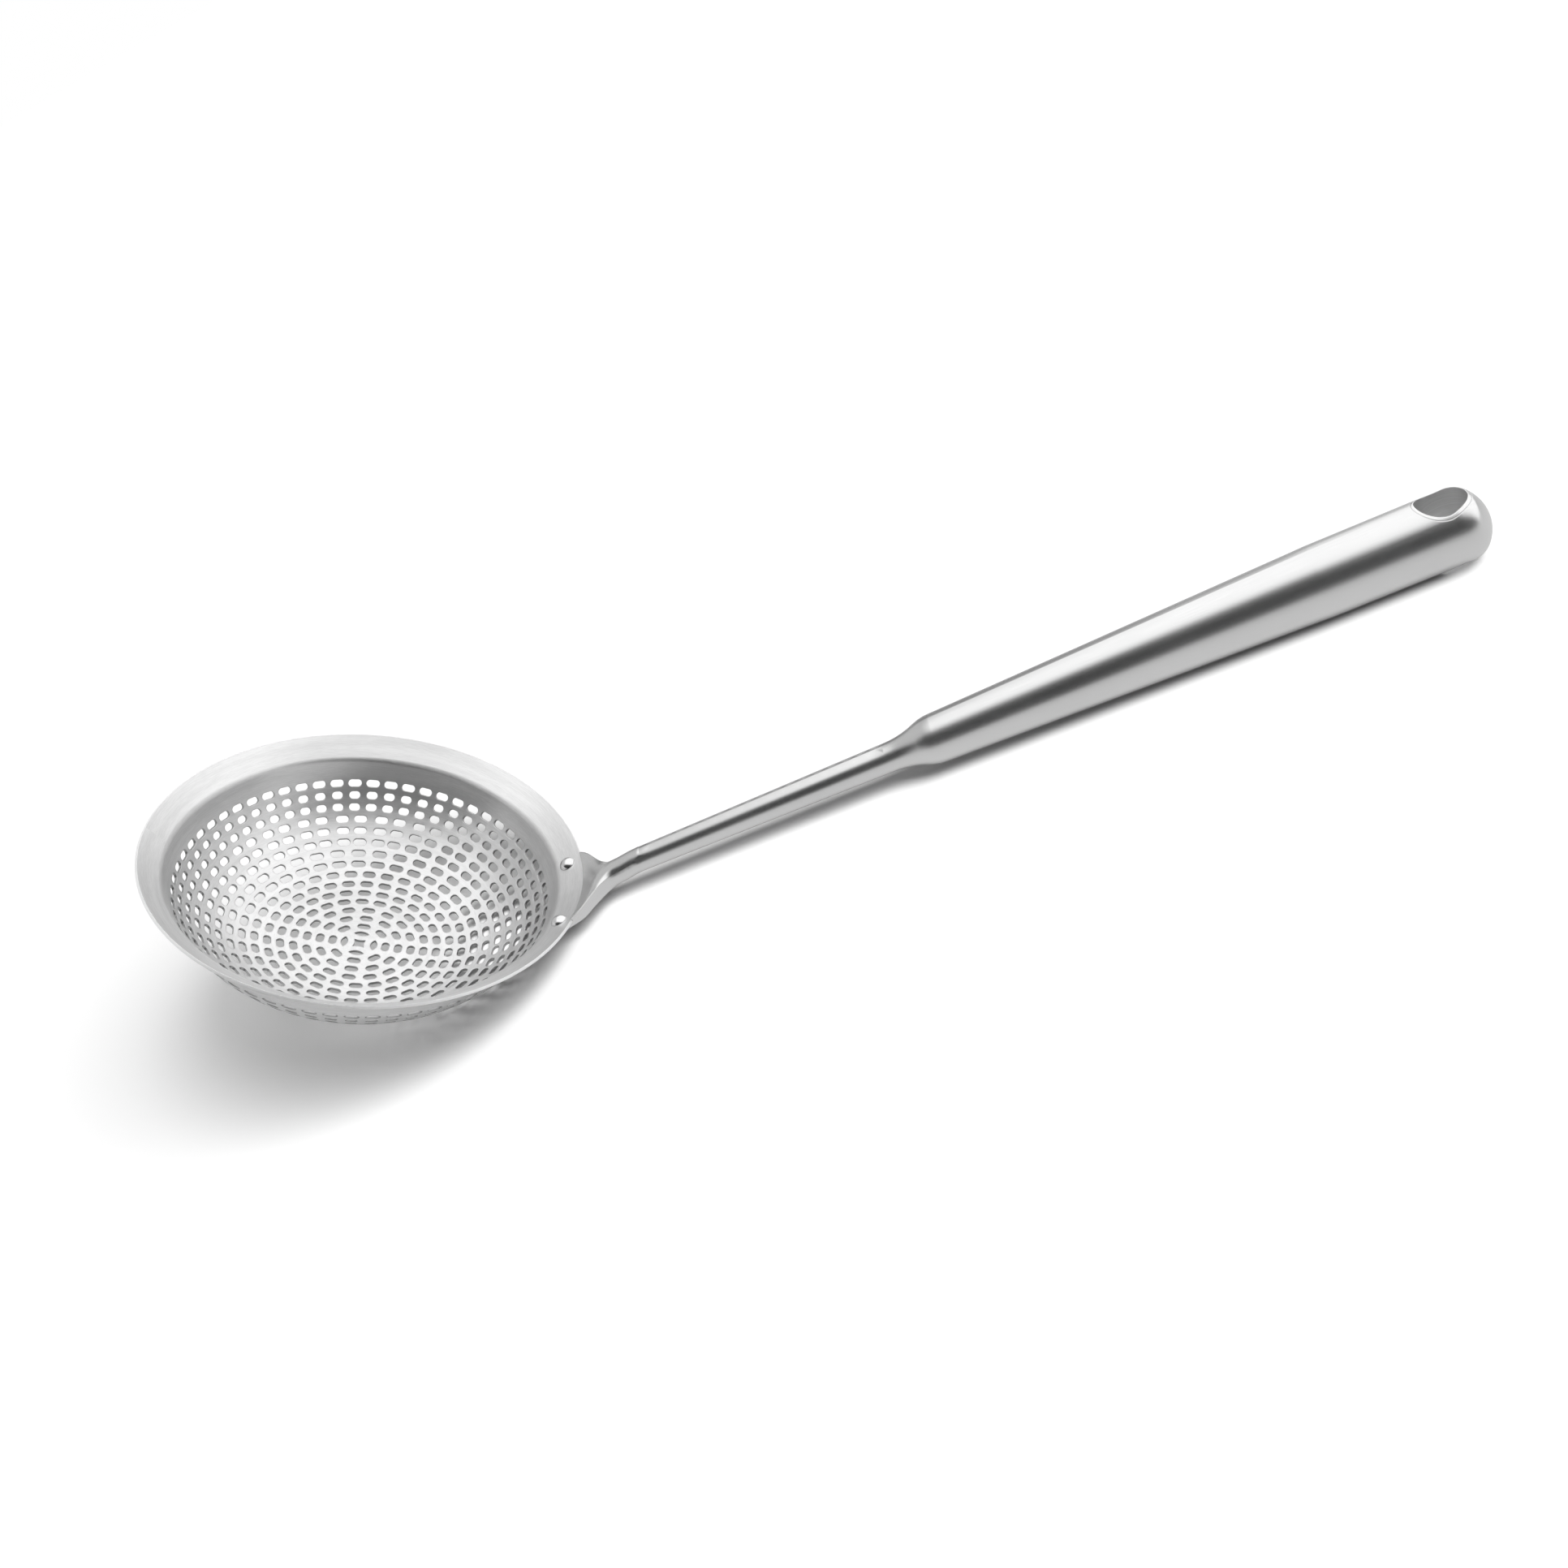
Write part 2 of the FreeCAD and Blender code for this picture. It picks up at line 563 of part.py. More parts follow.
def make_bowl_space():
    """Room for the bowl, so that the plate seats under the flange and ends at the bowl's side."""
    body, plane = new_body("bowl_space")
    sketch = new_sketch(body, plane, "bowl_space_section")
    p = PROFILE
    thickness = size("sheet_thickness")
    outer = draw_run(sketch, thickness)
    corner = p["rim"] + p["below"] * thickness
    rise = size("rim_radius") / 4 + thickness
    above = corner - p["below"] * rise
    top = V(0, above.y, 0)
    bottom = V(0, -size("bowl_depth") - thickness, 0)
    edge_line = sketch.addGeometry(Part.LineSegment(corner, above))
    top_line = sketch.addGeometry(Part.LineSegment(above, top))
    axis_line = sketch.addGeometry(Part.LineSegment(top, bottom))
    relate(sketch, "Coincident", outer + 4, END, edge_line, START)
    relate(sketch, "Coincident", edge_line, END, top_line, START)
    relate(sketch, "Coincident", top_line, END, axis_line, START)
    relate(sketch, "Coincident", axis_line, END, outer, START)
    relate(sketch, "Horizontal", top_line)
    relate(sketch, "PointOnObject", axis_line, START, Y_AXIS_LINE)
    relate(sketch, "Perpendicular", outer + 4, edge_line)
    place_point(sketch, "corner", outer + 4, END,
                "Sizes.rim_radius + Sizes.sheet_thickness * sin(Sizes.flange_slope * 1 deg)", corner.x,
                "0 - Sizes.sheet_thickness * cos(Sizes.flange_slope * 1 deg)", corner.y)
    measure(sketch, "depth", "Sizes.bowl_depth + Sizes.sheet_thickness",
            "DistanceY", outer, START, ORIGIN_POINT, START, size("bowl_depth") + thickness)
    measure(sketch, "flat", "Sizes.base_flat_radius",
            "DistanceX", outer, START, outer, END, size("base_flat_radius"))
    measure(sketch, "base_radius", "Sizes.base_arc_radius + Sizes.sheet_thickness",
            "Radius", outer + 1, size("base_arc_radius") + thickness)
    measure(sketch, "base_angle", "Sizes.base_arc_angle * 1 deg",
            "Angle", outer + 1, math.radians(size("base_arc_angle")))
    measure(sketch, "side_radius", "Sizes.side_arc_radius + Sizes.sheet_thickness",
            "Radius", outer + 2, size("side_arc_radius") + thickness)
    measure(sketch, "bend_radius", "Sizes.rim_bend_radius - Sizes.sheet_thickness",
            "Radius", outer + 3, size("rim_bend_radius") - thickness)
    measure(sketch, "slope", "Sizes.flange_slope * 1 deg", "Angle", outer + 4, p["slope"])
    measure(sketch, "rise", "Sizes.rim_radius / 4 + Sizes.sheet_thickness", "Distance", edge_line, rise)
    revolve(body, sketch, "V_Axis")
    return body


def combine(kind, name, base, tool):
    feature = doc.addObject(kind, name)
    feature.Base = base
    feature.Tool = tool
    feature.Refine = False
    return feature


def make_cylinder(name, radius_expression, height, placement):
    tool = doc.addObject("Part::Cylinder", name)
    tool.setExpression("Radius", radius_expression)
    tool.Height = height
    tool.Placement = placement
    return tool


def rivet_placement(side):
    """Local Z stands square on the inner face of the flange at one rivet."""
    radius = size("rivet_circle_radius")
    height = (radius - size("rim_radius")) * math.tan(PROFILE["slope"])
    return on_bowl(side * size("rivet_half_angle"), radius, height, PROFILE["slope"])


def make_rivet_holes():
    depth = size("sheet_thickness") + size("plate_thickness") + CLEAR
    holes = doc.addObject("Part::Compound", "rivet_holes")
    links = []
    for name, side in (("near", -1), ("far", 1)):
        drop = FreeCAD.Placement(V(0, 0, -depth), FreeCAD.Rotation())
        place = rivet_placement(side).multiply(drop)
        links.append(make_cylinder("hole_" + name, "Sizes.rivet_shank_radius", depth + CLEAR, place))
    holes.Links = links
    return holes


def crowned(radius, height, level, upward):
    """Arc of a rivet's head or tail, from its edge to its crown."""
    sphere = (radius * radius + height * height) / (2 * height)
    centre = V(0, level + upward * (height - sphere), 0)
    edge = V(radius, level, 0)
    crown = V(0, level + upward * height, 0)
    middle_angle = (angle_of(edge - centre) + upward * math.pi / 2) / 2
    return Part.Arc(edge, polar(centre, sphere, middle_angle), crown), edge, crown


def make_rivet_blank(side, name):
    """Rivet in its own frame, with head and tail started inside the sheets they clamp."""
    body, plane = new_body(name + "_blank")
    sketch = new_sketch(body, plane, name + "_section")
    clamped = size("sheet_thickness") + size("plate_thickness")
    shank = size("rivet_shank_radius")
    head_arc, head_edge, head_crown = crowned(size("rivet_head_radius"), size("rivet_head_height"), 0, 1)
    tail_arc, tail_edge, tail_crown = crowned(
        size("rivet_tail_radius"), size("rivet_tail_height"), -clamped, -1)
    tail_seat = SEAT - clamped
    points = [
        head_edge,
        V(head_edge.x, -SEAT, 0),
        V(shank, -SEAT, 0),
        V(shank, tail_seat, 0),
        V(tail_edge.x, tail_seat, 0),
        tail_edge,
    ]
    head_side, head_foot, shank_side, tail_foot, tail_side = range(len(points) - 1)
    for start, end in zip(points, points[1:]):
        sketch.addGeometry(Part.LineSegment(start, end))
    for line in range(tail_side):
        relate(sketch, "Coincident", line, END, line + 1, START)
    for line in (head_side, shank_side, tail_side):
        relate(sketch, "Vertical", line)
    for line in (head_foot, tail_foot):
        relate(sketch, "Horizontal", line)
    sketch.addGeometry(head_arc)
    sketch.addGeometry(tail_arc)
    sketch.addGeometry(Part.LineSegment(head_crown, tail_crown))
    measure(sketch, "head_radius", "Sizes.rivet_head_radius",
            "DistanceX", ORIGIN_POINT, START, head_side, START, head_edge.x)
    measure(sketch, "shank_radius", "Sizes.rivet_shank_radius",
            "DistanceX", ORIGIN_POINT, START, shank_side, START, shank)
    measure(sketch, "tail_radius", "Sizes.rivet_tail_radius",
            "DistanceX", ORIGIN_POINT, START, tail_side, END, tail_edge.x)
    revolve(body, sketch, "V_Axis")
    body.Placement = rivet_placement(side)
    return body


def rest_angle():
    """Angle at which the line under the bowl and the grip runs in the bowl's frame."""
    centre = V(PROFILE["side_centre"].x, 0, PROFILE["side_centre"].y)
    radius = size("side_arc_radius") + size("sheet_thickness")
    contact = on_handle(size("grip_taper_end"), 0, -size("grip_rear_radius"))
    reach = contact - centre
    return math.atan2(reach.z, reach.x) + math.asin(radius / reach.Length)


def rest_placement(shapes):
    """Turn to the resting angle, then move the middle of the box's foot to the origin."""
    turn = FreeCAD.Placement(V(0, 0, 0), FreeCAD.Rotation(V(0, 1, 0), math.degrees(rest_angle())))
    turned = [shape.copy() for shape in shapes]
    for shape in turned:
        shape.Placement = turn.multiply(shape.Placement)
    box = turned[0].optimalBoundingBox(False)
    for shape in turned[1:]:
        box.add(shape.optimalBoundingBox(False))
    turn.Base = V(-box.Center.x, -box.Center.y, -box.ZMin)
    return turn


bowl_sheet = make_bowl_sheet()
handle_round = make_round("handle_round", 0, "0")
doc.recompute()
rest = rest_placement([bowl_sheet.Shape, handle_round.Shape])

# Bowl
rivet_holes = make_rivet_holes()
sheet_drilled = combine("Part::Cut", "sheet_drilled", bowl_sheet, rivet_holes)
bowl = combine("Part::Cut", "bowl", sheet_drilled, make_slot_tools())
bowl.Placement = rest

# Handle
handle_bore = make_round("handle_bore", size("tube_wall"), "Sizes.tube_wall")
handle_outside = combine("Part::Fuse", "handle_outside", handle_round, make_plate())
handle_tube = combine("Part::Cut", "handle_tube", handle_outside, handle_bore)
handle_seated = combine("Part::Cut", "handle_seated", handle_tube, make_bowl_space())
handle_drilled = combine("Part::Cut", "handle_drilled", handle_seated, rivet_holes)

# Hanging hole, lined by a sleeve that is flush with the grip
hole_from_rim = size("handle_reach") - size("hang_hole_from_end")
hole_half_length = size("grip_rear_radius") + CLEAR
hole_turn = FreeCAD.Rotation(Z_AXIS, HANDLE_UP)
hole_place = FreeCAD.Placement(on_handle(hole_from_rim, 0, -hole_half_length), hole_turn)
sleeve_outside = make_cylinder(
    "sleeve_outside", "Sizes.hang_hole_radius + Sizes.sleeve_wall", 2 * hole_half_length, hole_place)
sleeve_bore = make_cylinder("sleeve_bore", "Sizes.hang_hole_radius", 2 * hole_half_length, hole_place)
handle = combine("Part::Cut", "handle", handle_drilled, sleeve_outside)
handle.Placement = rest
sleeve_plug = combine("Part::Common", "sleeve_plug", handle_round, sleeve_outside)
hanging_sleeve = combine("Part::Cut", "hanging_sleeve", sleeve_plug, sleeve_bore)
hanging_sleeve.Placement = rest

# Rivets, trimmed to the sheet above and the plate below
nodes = [bowl, handle, hanging_sleeve]
for name, side in (("rivet_near", -1), ("rivet_far", 1)):
    blank = make_rivet_blank(side, name)
    headed = combine("Part::Cut", name + "_headed", blank, sheet_drilled)
    rivet = combine("Part::Cut", name, headed, handle_drilled)
    rivet.Placement = rest
    nodes.append(rivet)

doc.recompute()

for item in doc.Objects:
    if "Invalid" in item.State or "Error" in item.State:
        raise RuntimeError("%s did not compute: %s" % (item.Name, item.State))

os.makedirs("parts", exist_ok=True)
for node in nodes:
    node.Label = node.Name
    if node.Shape.isNull() or not node.Shape.isValid():
        raise RuntimeError("%s has no valid shape" % node.Name)
    if len(node.Shape.Solids) != 1:
        raise RuntimeError("%s is %d solids" % (node.Name, len(node.Shape.Solids)))
    node.Shape.exportStep("parts/%s.step" % node.Name)
    print(node.Name, len(node.Shape.Faces), "faces, volume %.1f mm3" % node.Shape.Volume)
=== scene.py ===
import math
import bpy
from mathutils import Matrix, Vector

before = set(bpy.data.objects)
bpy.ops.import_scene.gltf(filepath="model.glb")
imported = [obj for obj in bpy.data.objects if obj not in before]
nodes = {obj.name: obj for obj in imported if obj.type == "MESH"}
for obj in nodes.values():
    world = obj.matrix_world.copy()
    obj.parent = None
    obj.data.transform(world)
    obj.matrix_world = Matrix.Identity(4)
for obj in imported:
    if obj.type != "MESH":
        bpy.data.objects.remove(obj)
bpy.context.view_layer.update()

# The skimmer lies turned about Y by this angle from the way it was photographed, with its
# bowl level, and the middle of the bowl's rim is at RIM_CENTRE. Lengths are in metres.
REST_ANGLE = math.radians(36.1075)
RIM_CENTRE = Vector((-0.137815, 0.0, 0.046582))
HANDLE_AZIMUTH = math.radians(5.2)

to_part = Matrix.Rotation(-HANDLE_AZIMUTH, 3, "Z")
to_row = Matrix.Rotation(REST_ANGLE, 3, "Y")
photo_to_row = to_row @ to_part

# Camera of the photograph, in the frame of the level bowl as the camera faces it.
CAMERA_PLACE = Vector((0.09883, -0.43617, 0.34544))
CAMERA_ELEVATION = math.radians(30.03)
CAMERA_ROLL = math.radians(11.02)
FOCAL_LENGTH = 42.43
SENSOR_WIDTH = 36.0
SHIFT = (0.0259, -0.0827)


def make_camera():
    right = Vector((1, 0, 0))
    down = Vector((0, -math.sin(CAMERA_ELEVATION), -math.cos(CAMERA_ELEVATION)))
    forward = Vector((0, math.cos(CAMERA_ELEVATION), -math.sin(CAMERA_ELEVATION)))
    image_x = math.cos(CAMERA_ROLL) * right - math.sin(CAMERA_ROLL) * down
    image_down = math.sin(CAMERA_ROLL) * right + math.cos(CAMERA_ROLL) * down
    axes = Matrix((image_x, -image_down, -forward)).transposed()
    world = (photo_to_row @ axes).to_4x4()
    world.translation = RIM_CENTRE + photo_to_row @ CAMERA_PLACE
    data = bpy.data.cameras.new("camera")
    data.sensor_fit = "HORIZONTAL"
    data.sensor_width = SENSOR_WIDTH
    data.lens = FOCAL_LENGTH
    data.shift_x, data.shift_y = SHIFT
    data.clip_start = 0.01
    data.clip_end = 50.0
    camera = bpy.data.objects.new("camera", data)
    camera.matrix_world = world
    bpy.context.scene.collection.objects.link(camera)
    bpy.context.scene.camera = camera


make_camera()
bpy.context.scene.view_settings.view_transform = "Standard"


class Graph:
    """Short names for building a node tree."""

    def __init__(self, tree):
        self.tree = tree
        tree.nodes.clear()

    def add(self, kind, inputs=None, **settings):
        node = self.tree.nodes.new(kind)
        for name, value in settings.items():
            setattr(node, name, value)
        for key, value in (inputs or {}).items():
            self.feed(node.inputs[key], value)
        return node

    def feed(self, socket, value):
        if isinstance(value, bpy.types.NodeSocket):
            self.tree.links.new(value, socket)
        else:
            socket.default_value = value

    def math(self, operation, *values):
        inputs = dict(enumerate(values))
        return self.add("ShaderNodeMath", inputs, operation=operation).outputs[0]

    def vector(self, operation, *values):
        inputs = dict(enumerate(values))
        node = self.add("ShaderNodeVectorMath", inputs, operation=operation)
        return node.outputs["Value"] if operation in ("DOT_PRODUCT", "LENGTH") else node.outputs[0]

    def ease(self, value, low, high, out_low=0.0, out_high=1.0):
        """Smooth change from out_low to out_high as value goes from low to high."""
        inputs = {0: value, 1: low, 2: high, 3: out_low, 4: out_high}
        return self.add("ShaderNodeMapRange", inputs, interpolation_type="SMOOTHSTEP").outputs[0]

    def sum(self, a, share_a, b, share_b):
        return self.math("ADD", self.math("MULTIPLY", a, share_a), self.math("MULTIPLY", b, share_b))

    def sway(self, cloud, amount):
        """Small change either way, from a noise around a half."""
        return self.math("MULTIPLY", self.math("SUBTRACT", cloud, 0.5), amount)

    def noise(self, vector, scale, detail=2.0, roughness=0.5):
        inputs = {"Vector": vector, "Scale": scale, "Detail": detail, "Roughness": roughness}
        return self.add("ShaderNodeTexNoise", inputs).outputs["Fac"]

    def combine(self, x, y, z):
        return self.add("ShaderNodeCombineXYZ", {0: x, 1: y, 2: z}).outputs[0]

    def mix(self, factor, a, b):
        return self.add("ShaderNodeMix", {0: factor, 2: a, 3: b}, data_type="FLOAT").outputs[0]

    def mix_vector(self, factor, a, b):
        return self.add("ShaderNodeMix", {0: factor, 4: a, 5: b}, data_type="VECTOR").outputs[1]

    def blend(self, factor, a, b):
        return self.add("ShaderNodeMixShader", {0: factor, 1: a, 2: b}).outputs[0]

    def place(self):
        return self.add("ShaderNodeTexCoord").outputs["Object"]

    def normal(self):
        return self.add("ShaderNodeNewGeometry").outputs["Normal"]

    def along_axes(self, point, axes):
        """Coordinates of a row-frame vector along the columns of a rotation."""
        return [self.vector("DOT_PRODUCT", point, tuple(axes.col[i])) for i in range(3)]

    def local_place(self, origin, axes):
        return self.along_axes(self.vector("SUBTRACT", self.place(), tuple(origin)), axes)


# Light: polished steel mirrors a studio that is bright overhead and behind, darker at the
# horizon, and has a dark room in front. Its directions are those of the level bowl's frame
# as the camera faces it, and its levels are shares of white.
SKY_LEVEL = 1.36
LEFT_HORIZON_LEVEL = 0.65
HORIZON_LEVEL = 0.2
GROUND_LEVEL = 0.5
ROOM_LEVEL = 0.04
ROOM_GROUND_SHARE = 0.9
MATT_LEVEL = 0.14


def make_world():
    world = bpy.data.worlds.new("studio")
    bpy.context.scene.world = world
    world.use_nodes = True
    world.cycles.sampling_method = "NONE"
    g = Graph(world.node_tree)
    ray = g.add("ShaderNodeTexCoord").outputs["Generated"]
    x, y, z = g.along_axes(ray, photo_to_row)
    # The sky starts higher above the horizon at the sides, and is more even at the left.
    side = g.math("MULTIPLY_ADD", g.math("ABSOLUTE", x), -0.3, z)
    left = g.math("MAXIMUM", g.math("SUBTRACT", -0.5, x), 0.0)
    low = g.ease(x, -0.45, -0.8, HORIZON_LEVEL, LEFT_HORIZON_LEVEL)
    sky = g.ease(g.math("MULTIPLY_ADD", left, -0.5, side), 0.04, 0.36, low, SKY_LEVEL)
    ground = g.ease(z, -0.05, -0.45, 0.0, GROUND_LEVEL)
    bright = g.math("ADD", sky, ground)
    dark = g.math("MULTIPLY_ADD", ground, ROOM_GROUND_SHARE, ROOM_LEVEL)
    # The room's upper edge slopes forward towards the zenith, and the room reaches round
    # to the right.
    edge = g.math("MAXIMUM", g.math("MULTIPLY_ADD", z, 0.5, -0.3), 0.0)
    right = g.math("MULTIPLY", g.math("MAXIMUM", x, 0.0), 0.35)
    depth = g.math("SUBTRACT", g.math("ADD", y, edge), right)
    level = g.mix(g.ease(depth, -0.29, -0.58), bright, dark)
    # Matt surfaces get an even share, and the camera sees plain white.
    path = g.add("ShaderNodeLightPath").outputs
    strength = g.mix(path["Is Diffuse Ray"], level, MATT_LEVEL)
    strength = g.mix(path["Is Camera Ray"], strength, 1.0)
    shader = g.add("ShaderNodeBackground", {"Color": (1, 1, 1, 1), "Strength": strength})
    g.add("ShaderNodeOutputWorld", {"Surface": shader.outputs[0]})


make_world()

# Two wide soft lamps stand side by side overhead, a little in front.
LAMP_SPREAD = 0.6
LAMPS = (
    ("overhead", 2.4, (0.14, -0.34, 0.93)),
    ("overhead_left", 1.15, (-0.17, -0.34, 0.93)),
)


def make_lamp(name, energy, direction):
    """Soft lamp. It isn't mirrored, as the studio's own pattern is."""
    data = bpy.data.lights.new(name, "SUN")
    data.energy = energy
    data.angle = LAMP_SPREAD
    lamp = bpy.data.objects.new(name, data)
    lamp.rotation_mode = "QUATERNION"
    lamp.rotation_quaternion = (photo_to_row @ Vector(direction)).to_track_quat("Z", "Y")
    lamp.visible_glossy = False
    bpy.context.scene.collection.objects.link(lamp)


for lamp_name, lamp_energy, lamp_direction in LAMPS:
    make_lamp(lamp_name, lamp_energy, lamp_direction)

# Floor: a large pale disc under the resting skimmer. It is white to the camera. Steel
# mirrors it greyer, and its grey is painted darker far out, a painted shade for the studio's
# light falling off: each of NEAR_FLOOR and FAR_FLOOR is a distance from the origin and the grey
# there.
FLOOR_RADIUS = 6.0
FLOOR_SIDES = 96
FLOOR_WHITE = 1.08
NEAR_FLOOR = (0.2, 0.62)
FAR_FLOOR = (0.6, 0.15)
LATER_FLOOR_SHARE = 0.7
MIRRORED_WHITE_SHARE = 0.25


def make_floor():
    angles = [2 * math.pi * i / FLOOR_SIDES for i in range(FLOOR_SIDES)]
    verts = [(FLOOR_RADIUS * math.cos(a), FLOOR_RADIUS * math.sin(a), 0.0) for a in angles]
    mesh = bpy.data.meshes.new("floor")
    mesh.from_pydata(verts, [], [tuple(range(FLOOR_SIDES))])
    floor = bpy.data.objects.new("floor", mesh)
    bpy.context.scene.collection.objects.link(floor)
    material = bpy.data.materials.new("floor")
    material.use_nodes = True
    g = Graph(material.node_tree)
    path = g.add("ShaderNodeLightPath").outputs
    # Light that reaches the floor by way of the steel comes from a darker floor.
    first = g.math("LESS_THAN", path["Diffuse Depth"], 0.5)
    near, near_grey = NEAR_FLOOR
    far, far_grey = FAR_FLOOR
    grey = g.ease(g.vector("LENGTH", g.place()), near, far, near_grey, far_grey)
    grey = g.math("MULTIPLY", grey, g.mix(first, LATER_FLOOR_SHARE, 1.0))
    matt = g.add("ShaderNodeBsdfDiffuse", {"Color": g.combine(grey, grey, grey)})
    white_color = (FLOOR_WHITE, FLOOR_WHITE, FLOOR_WHITE, 1)
    white = g.add("ShaderNodeBsdfDiffuse", {"Color": white_color})
    mirrored = g.math("MULTIPLY", path["Is Glossy Ray"], MIRRORED_WHITE_SHARE)
    mirrored = g.math("MULTIPLY", mirrored, first)
    shown = g.math("MAXIMUM", path["Is Camera Ray"], path["Is Transmission Ray"])
    shown = g.math("MAXIMUM", shown, mirrored)
    shader = g.blend(shown, matt.outputs[0], white.outputs[0])
    g.add("ShaderNodeOutputMaterial", {"Surface": shader})
    mesh.materials.append(material)


make_floor()

# Places on the skimmer that its finishes go by.
RIM_RADIUS = 0.065
DISH_CENTRE_LIFT = 0.042
HANDLE_SLOPE = math.radians(36.3)
HANDLE_LIFT = 0.00137
HANDLE_REACH = 0.2764
DOME_RADIUS = 0.012
HOLE_REACH = 0.266

handle_axes = to_row @ Matrix.Rotation(-HANDLE_SLOPE, 3, "Y")
handle_up = Vector((-math.sin(HANDLE_SLOPE), 0, math.cos(HANDLE_SLOPE)))
handle_start = RIM_CENTRE + to_row @ (Vector((RIM_RADIUS, 0, 0)) + HANDLE_LIFT * handle_up)
handle_tip = handle_start + HANDLE_REACH * handle_axes.col[0]
dome_centre = handle_tip - DOME_RADIUS * handle_axes.col[0]
# Middle of the sphere that the dish is nearest to.
dish_centre = RIM_CENTRE + to_row @ Vector((0, 0, DISH_CENTRE_LIFT))

SOFT_EDGE = 0.0004
EDGE_SAMPLES = 4


def steel(name, grey, roughness, anisotropy, build):
    """Steel whose brushing, tone and roughness come from build(graph)."""
    material = bpy.data.materials.new(name)
    material.use_nodes = True
    g = Graph(material.node_tree)
    line, tone, rough, bump, tangent, tip = build(g)
    shade = g.math("MULTIPLY", tone, grey)
    normal = g.add("ShaderNodeBevel", {"Radius": SOFT_EDGE}, samples=EDGE_SAMPLES).outputs[0]
    if tip is not None:
        near, tip_normal = tip
        normal = g.mix_vector(near, normal, tip_normal)
    relief = {"Strength": 1.0, "Distance": bump, "Height": line, "Normal": normal}
    shader = g.add("ShaderNodeBsdfPrincipled", {
        "Base Color": g.combine(shade, shade, shade),
        "Metallic": 1.0,
        "Roughness": g.math("ADD", roughness, rough),
        "Normal": g.add("ShaderNodeBump", relief).outputs[0],
    })
    if tangent is not None:
        shader.inputs["Anisotropic"].default_value = anisotropy
        g.feed(shader.inputs["Tangent"], tangent)
    g.add("ShaderNodeOutputMaterial", {"Surface": shader.outputs[0]})
    return material


def brushed_round(g):
    """Brush lines that run round the bowl's axis, with faint streaks and wear, painted shade on the
    slots' walls and a painted highlight on the rim's cut edge.
    """
    x, y, z = g.local_place(RIM_CENTRE, to_row)
    radius = g.math("SQRT", g.math("ADD", g.math("MULTIPLY", x, x), g.math("MULTIPLY", y, y)))
    turn = g.math("MULTIPLY", g.math("ARCTAN2", y, x), 0.004)
    ring = g.combine(radius, turn, z)
    fine = g.noise(ring, 4200.0, 3.0, 0.6)
    broad = g.noise(ring, 420.0)
    cloud = g.noise(g.combine(x, y, z), 22.0, 3.0)
    line = g.sum(fine, 0.7, broad, 0.3)
    streaks = g.ease(g.sum(fine, 0.5, broad, 0.5), 0.35, 0.65, 0.91, 1.04)
    # The walls of the slots get a darker base colour, painted shade inside the slots.
    place = g.place()
    outwards = g.vector("NORMALIZE", g.vector("SUBTRACT", place, tuple(dish_centre)))
    facing = g.vector("DOT_PRODUCT", g.normal(), outwards)
    slot_wall_shade = g.ease(g.math("ABSOLUTE", facing), 0.75, 0.45)
    tone = g.mix(slot_wall_shade, streaks, 0.6)
    # The base colour at the rim's cut edge is painted brighter, a painted highlight line along the
    # rim; the edge is also rougher.
    rim_highlight = g.ease(radius, RIM_RADIUS - 0.00025, RIM_RADIUS - 0.00005)
    tone = g.mix(rim_highlight, tone, 1.28)
    rough = g.mix(rim_highlight, g.sway(cloud, 0.1), 0.3)
    # Lines run round the bowl, so light spreads across them.
    across = g.vector("SUBTRACT", place, tuple(RIM_CENTRE))
    return line, tone, rough, 0.00002, across, None


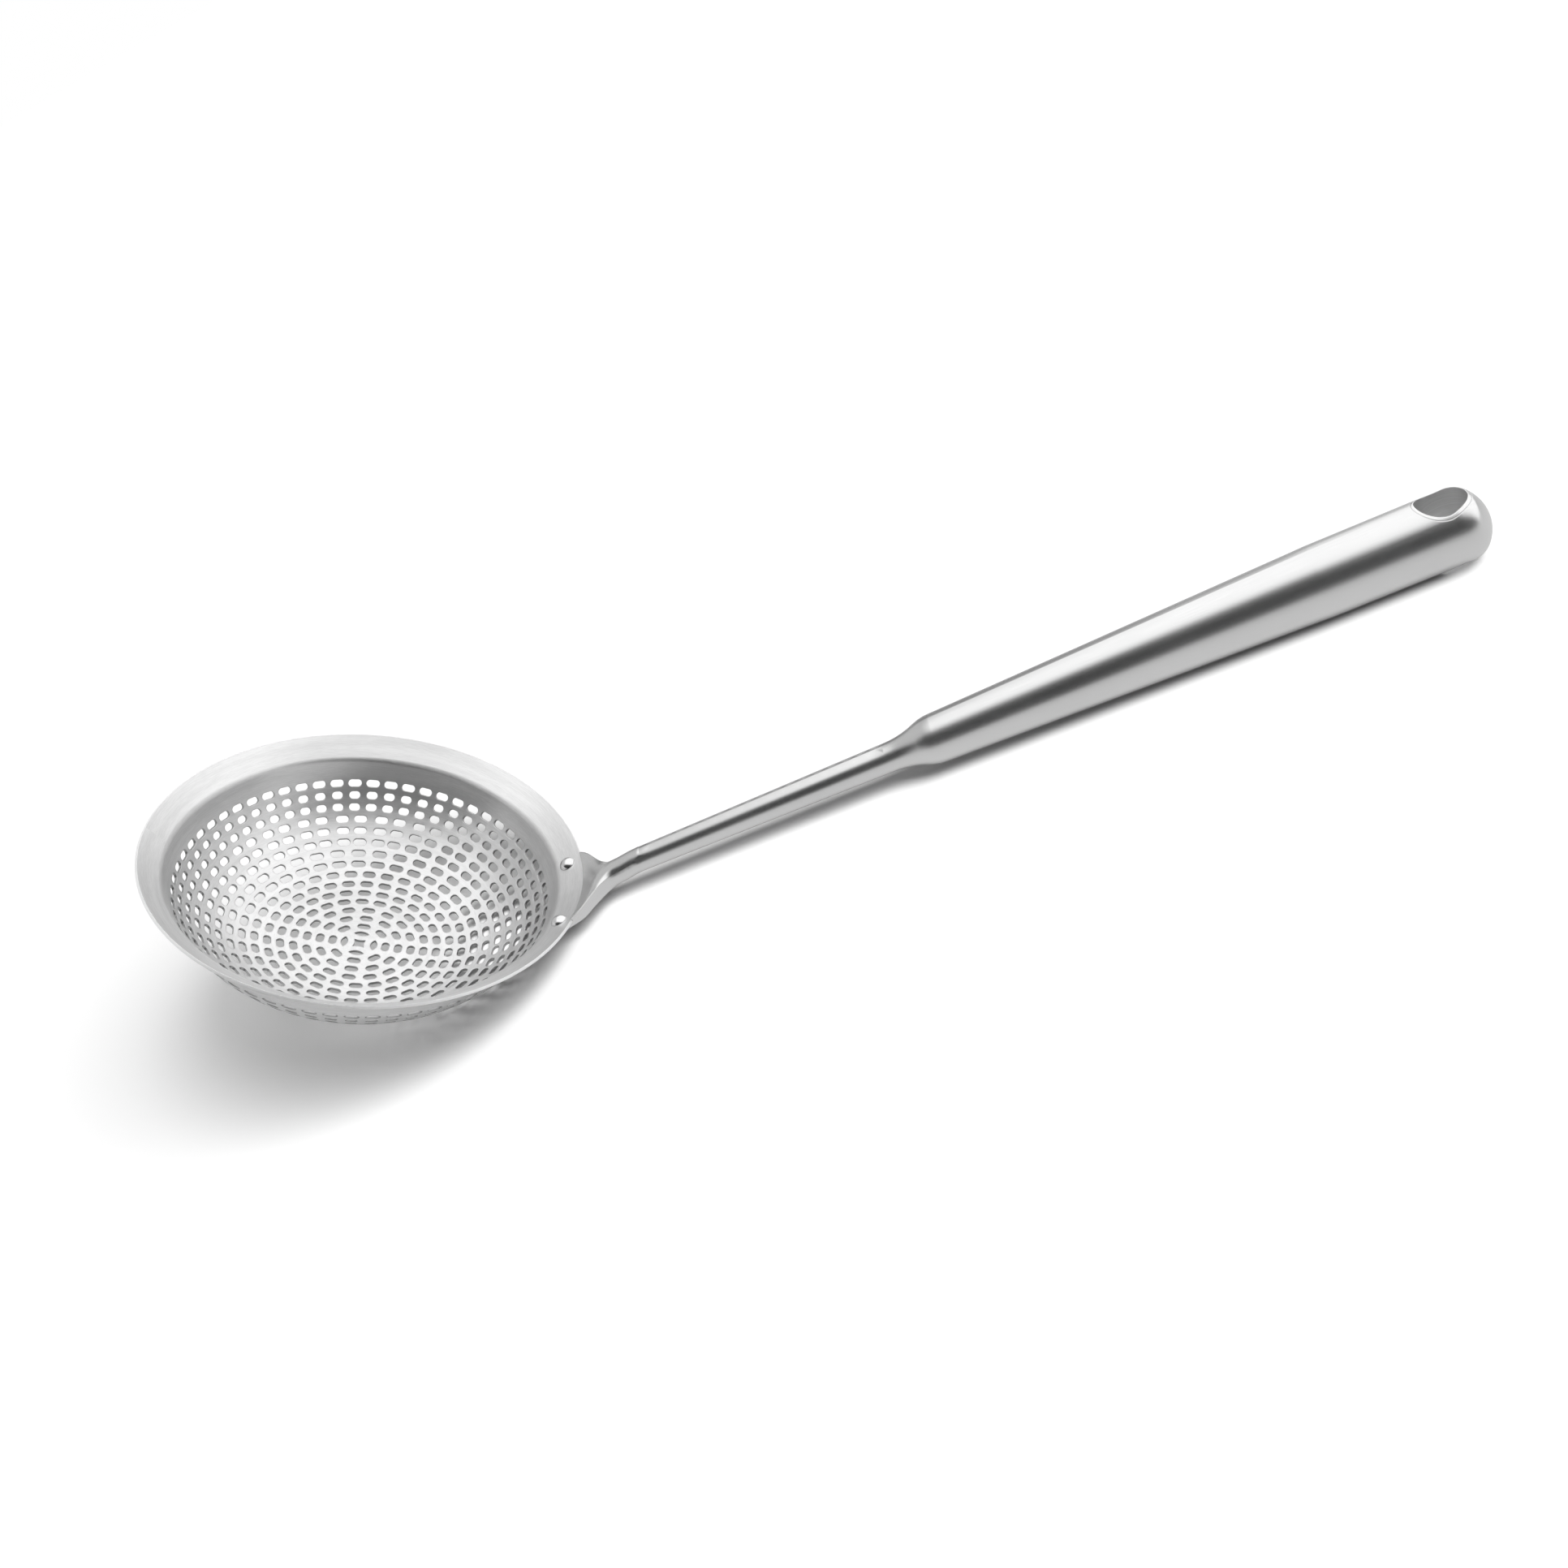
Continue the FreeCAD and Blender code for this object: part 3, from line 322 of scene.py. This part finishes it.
def brushed_along(g):
    """Fine polishing lines along the handle."""
    along, across, up = g.local_place(handle_start, handle_axes)
    angle = g.math("ARCTAN2", across, up)
    strip = g.combine(g.math("MULTIPLY", along, 0.02), g.math("MULTIPLY", angle, 0.01), 0.0)
    fine = g.noise(strip, 5000.0)
    cloud = g.noise(g.combine(along, across, up), 30.0, 3.0)
    tone = g.ease(g.sum(fine, 0.5, cloud, 0.5), 0.35, 0.65, 0.96, 1.02)
    # The lines run along the handle, so light spreads round it.
    around = g.vector("CROSS_PRODUCT", g.normal(), tuple(handle_axes.col[0]))
    # At the tip of the domed end they fade out, and the surface is that of the end's sphere.
    place = g.place()
    from_tip = g.vector("LENGTH", g.vector("SUBTRACT", place, tuple(handle_tip)))
    sphere = g.vector("NORMALIZE", g.vector("SUBTRACT", place, tuple(dome_centre)))
    near = g.ease(from_tip, 0.003, 0.0015)
    line = g.math("MULTIPLY", fine, g.math("SUBTRACT", 1.0, near))
    return line, tone, g.sway(cloud, 0.06), 0.000002, around, (near, sphere)


def turned_bore(g):
    """Turning marks round the hanging hole, and the handle's finish on the sleeve's ends."""
    along, across, up = g.local_place(handle_start, handle_axes)
    fine = g.noise(g.combine(0.0, 0.0, up), 2600.0)
    cloud = g.noise(g.combine(along, across, up), 60.0)
    from_axis = g.vector("LENGTH", g.combine(g.math("SUBTRACT", along, HOLE_REACH), across, 0.0))
    end = g.ease(from_axis, 0.00685, 0.007)
    tone = g.mix(end, g.ease(fine, 0.3, 0.7, 0.9, 1.05), 0.79)
    rough = g.mix(end, g.sway(cloud, 0.1), -0.14)
    return fine, tone, rough, 0.00002, None, None


def polished(g):
    """Rivets with faint clouds of wear."""
    x, y, z = g.local_place(RIM_CENTRE, to_row)
    cloud = g.noise(g.combine(x, y, z), 900.0)
    tone = g.ease(cloud, 0.3, 0.7, 0.94, 1.02)
    return cloud, tone, g.sway(cloud, 0.1), 0.000004, None, None


def dress(name, material):
    for slot in nodes[name].material_slots:
        slot.material = material


dress("bowl", steel("bowl_steel", 0.765, 0.34, 0.75, brushed_round))
dress("handle", steel("handle_steel", 0.74, 0.26, 0.7, brushed_along))
# The sleeve's grey is higher than the other steel's, painted light in the hanging hole's bore;
# turned_bore tones its ends down to the handle's grey.
dress("hanging_sleeve", steel("sleeve_steel", 0.94, 0.4, 0.0, turned_bore))
rivet_steel = steel("rivet_steel", 0.76, 0.2, 0.0, polished)
dress("rivet_near", rivet_steel)
dress("rivet_far", rivet_steel)
